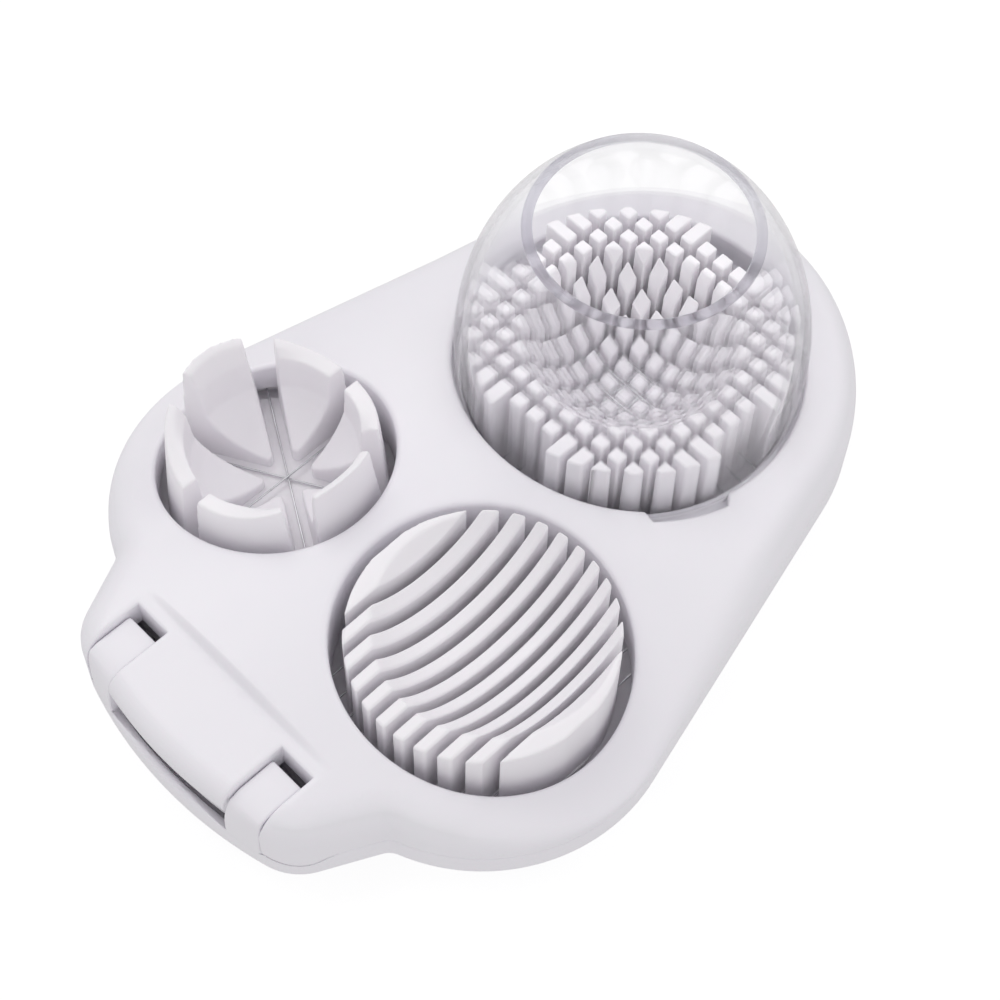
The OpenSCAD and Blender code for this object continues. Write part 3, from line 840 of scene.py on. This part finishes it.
def pin(i, j):
    """The pin in column i and row j, or None where the circle leaves too little of it."""
    x0 = -FAR if i == -LAST else (i - 0.5) * PITCH + PIN_SIDE
    x1 = FAR if i == LAST else (i + 0.5) * PITCH - PIN_SIDE - PIN_LEAD
    y0 = -FAR if j == -LAST else (j - 0.5) * PITCH + PIN_SIDE
    y1 = FAR if j == LAST else (j + 0.5) * PITCH - PIN_SIDE
    flat_x = FLAT if abs(j) <= 1 else FAR
    flat_y = FLAT if abs(i) <= 1 else FAR
    x0, x1, y0, y1 = max(x0, -flat_x), min(x1, flat_x), max(y0, -flat_y), min(y1, flat_y)
    if x1 - x0 < SLIVER or y1 - y0 < SLIVER:
        return None
    poly = [(x0, y0), (x1, y0), (x1, y1), (x0, y1)]
    for k in range(CIRCLE_SIDES):
        t = 2 * math.pi * (k + 0.5) / CIRCLE_SIDES
        poly = clip(poly, math.cos(t), math.sin(t), DICER_R)
        if len(poly) < 3:
            return None
    clean = [p for p, q in zip(poly, poly[1:] + poly[:1]) if math.dist(p, q) > 0.3]
    if len(clean) < 3:
        return None
    c = np.mean(clean, axis=0)
    w = np.ptp(np.array(clean), axis=0)
    if w.min() < PIN_LEAST:
        return None
    loop = []
    for p, q in zip(clean, clean[1:] + clean[:1]):
        n = max(1, round(math.dist(p, q) / 1.8))
        loop += [(p[0] + (q[0] - p[0]) * k / n, p[1] + (q[1] - p[1]) * k / n) for k in range(n)]
    loop = np.array(loop)
    small = c + (loop - c) * (1 - 2 * PIN_DRAFT / w)
    z = pin_height(small[:, 0], small[:, 1])
    n = len(loop)
    verts = [(*(DICER + p), ROOT) for p in loop]
    verts += [(*(DICER + p), h) for p, h in zip(small, z)]
    verts.append((*(DICER + c), float(pin_height(*c))))
    faces = [(k, (k + 1) % n, n + (k + 1) % n, n + k) for k in range(n)]
    faces += [(n + k, n + (k + 1) % n, 2 * n) for k in range(n)]
    faces.append(tuple(range(n - 1, -1, -1)))
    return np.array(verts), faces


rows = range(-LAST, LAST + 1)
verts, faces = merge([p for i in rows for j in rows if (p := pin(i, j)) is not None])
piece = make("dicer_pins", verts, faces, "tray", CRADLE, 45)
bevel(piece, 0.5, 3, 50)
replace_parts(piece, "dicer_pin_block")
verts, faces = disc_block(DICER, DICER_R, TRAY_FLOOR, PLATE_TOP)
make("dicer_plate", verts, faces, "tray", CRADLE)

# ---------------------------------------------------------------- guard dome

FOOT, BELT, MOUTH = 18.8, 31.0, 72.0    # heights of the foot, the end of the upright wall, the mouth
LIP_Z = MOUTH - 0.8
DOME_R, MOUTH_R, SKIN = 40.45, 26.2, 1.8
LUG_HALF, LUG_TOP = 9.4, 20.3


def dome_r(z):
    """Outer radius at a height: an upright wall, then an ellipse up to the lip."""
    u = max(z - BELT, 0) / (LIP_Z - BELT)
    return DOME_R * math.sqrt(1 - (1 - (MOUTH_R / DOME_R) ** 2) * u * u)


def dome_slope(z):
    return (dome_r(z + 0.01) - dome_r(z)) / 0.01


def revolve(name, profile, material):
    """A clear piece of the dome."""
    verts, faces = turned(DICER, profile)
    shell = make(name, verts, faces, "dome", material, 50)
    shell.visible_shadow = False
    return shell


zs = [FOOT + 0.3, *np.linspace(FOOT + 1.2, BELT, 8), *np.linspace(BELT, LIP_Z, 40)[1:]]
outer = [(dome_r(z), z) for z in zs]
inner = [(dome_r(z) - SKIN * math.sqrt(1 + dome_slope(z) ** 2), z) for z in zs][::-1]
foot = [(inner[-1][0] + 0.3, FOOT), (outer[0][0] - 0.3, FOOT)]
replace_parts(revolve("dome_shell", outer + inner + foot, DOME), "guard_dome")
lip_out, lip_in = outer[-1][0], inner[0][0]
lip = [(lip_out, LIP_Z + 0.02), (lip_out - 0.05, LIP_Z + 0.35), (lip_out - 0.4, MOUTH - 0.08),
       (lip_out - 0.8, MOUTH), (lip_in + 0.6, MOUTH), (lip_in + 0.2, MOUTH - 0.1),
       (lip_in, LIP_Z + 0.35), (lip_in, LIP_Z + 0.02)]
# the lip takes the darker tint, painted shade along the mouth's edge
revolve("dome_lip", lip, SHADED_LIP)

angles = np.linspace(NOTCH - LUG_HALF / DICER_HOLE_R, NOTCH + LUG_HALF / DICER_HOLE_R, 16)
top = np.array([[(DICER[0] + r * math.cos(a), DICER[1] + r * math.sin(a), LUG_TOP) for a in angles]
                for r in (40.5, 41.6, 42.8)])
low = top.copy()
low[:, :, 2] = FOOT
verts, faces = grid_block(top, low)
piece = make("dome_lug", verts, faces, "dome", DOME)
bevel(piece, 0.3, 2, 50)
piece.visible_shadow = False

# ---------------------------------------------------------------- stage, light and camera

floor_mesh = bpy.data.meshes.new("floor")
floor_mesh.from_pydata([(-3, -3, 0), (3, -3, 0), (3, 3, 0), (-3, 3, 0)], [], [(0, 1, 2, 3)])
floor = bpy.data.objects.new("floor", floor_mesh)
bpy.context.scene.collection.objects.link(floor)
m, nodes, links, shader = new_material("floor_paper")
paper = noise(nodes, links, 40.0, 3.0)
colour = ramp(nodes, links, paper.outputs["Fac"], [(0.3, (0.29, 0.29, 0.29)), (0.7, (0.31, 0.31, 0.31))])
links.new(colour.outputs["Color"], shader.inputs["Base Color"])
shader.inputs["Roughness"].default_value = 0.9
shader.inputs["Emission Color"].default_value = (1, 1, 1, 1)
shader.inputs["Emission Strength"].default_value = 0.77
floor.data.materials.append(m)
floor.visible_diffuse = False
floor.visible_glossy = False

world = bpy.data.worlds.new("studio")
world.use_nodes = True
world.node_tree.nodes["Background"].inputs["Color"].default_value = (1.0, 0.995, 1.0, 1)
world.node_tree.nodes["Background"].inputs["Strength"].default_value = 0.68
bpy.context.scene.world = world


def softbox(name, place, aim, size, power):
    """A rectangular soft light, turned towards a point."""
    light = bpy.data.lights.new(name, "AREA")
    light.shape = "RECTANGLE"
    light.size, light.size_y = size
    light.energy = power
    lamp = bpy.data.objects.new(name, light)
    bpy.context.scene.collection.objects.link(lamp)
    lamp.location = place
    lamp.rotation_euler = (Vector(aim) - Vector(place)).to_track_quat("-Z", "Y").to_euler()


softbox("key", (0.1, 0.75, 1.0), (0, 0, 0), (0.9, 0.7), 3.0)
softbox("fill", (0.85, -0.3, 0.8), (0, 0, 0), (0.8, 0.8), 1.3)
softbox("front", (-0.7, -0.8, 0.9), (0, 0, 0), (0.9, 0.9), 1.2)

# the camera looks down on the object from its front and hinge end, a little rolled
AZIMUTH, ELEVATION, TILT = math.radians(-45.891), math.radians(58.911), math.radians(1.96)
TARGET = Vector((-5.302, -7.952, 26.0)) * MM
DISTANCE = 0.483477
back = Vector((math.sin(AZIMUTH) * math.cos(ELEVATION), -math.cos(AZIMUTH) * math.cos(ELEVATION),
               math.sin(ELEVATION)))
level = Vector((math.cos(AZIMUTH), math.sin(AZIMUTH), 0))
upright = back.cross(level)
right = level * math.cos(TILT) + upright * math.sin(TILT)
up = upright * math.cos(TILT) - level * math.sin(TILT)
camera_data = bpy.data.cameras.new("camera")
camera_data.lens = 79.2
camera_data.sensor_width = 36.0
camera_data.clip_start = 0.01
camera = bpy.data.objects.new("camera", camera_data)
bpy.context.scene.collection.objects.link(camera)
axes = Matrix((right, up, back)).transposed()
camera.matrix_world = Matrix.Translation(TARGET + back * DISTANCE) @ axes.to_4x4()
bpy.context.scene.camera = camera
bpy.context.scene.view_settings.view_transform = "Standard"

bpy.context.view_layer.update()
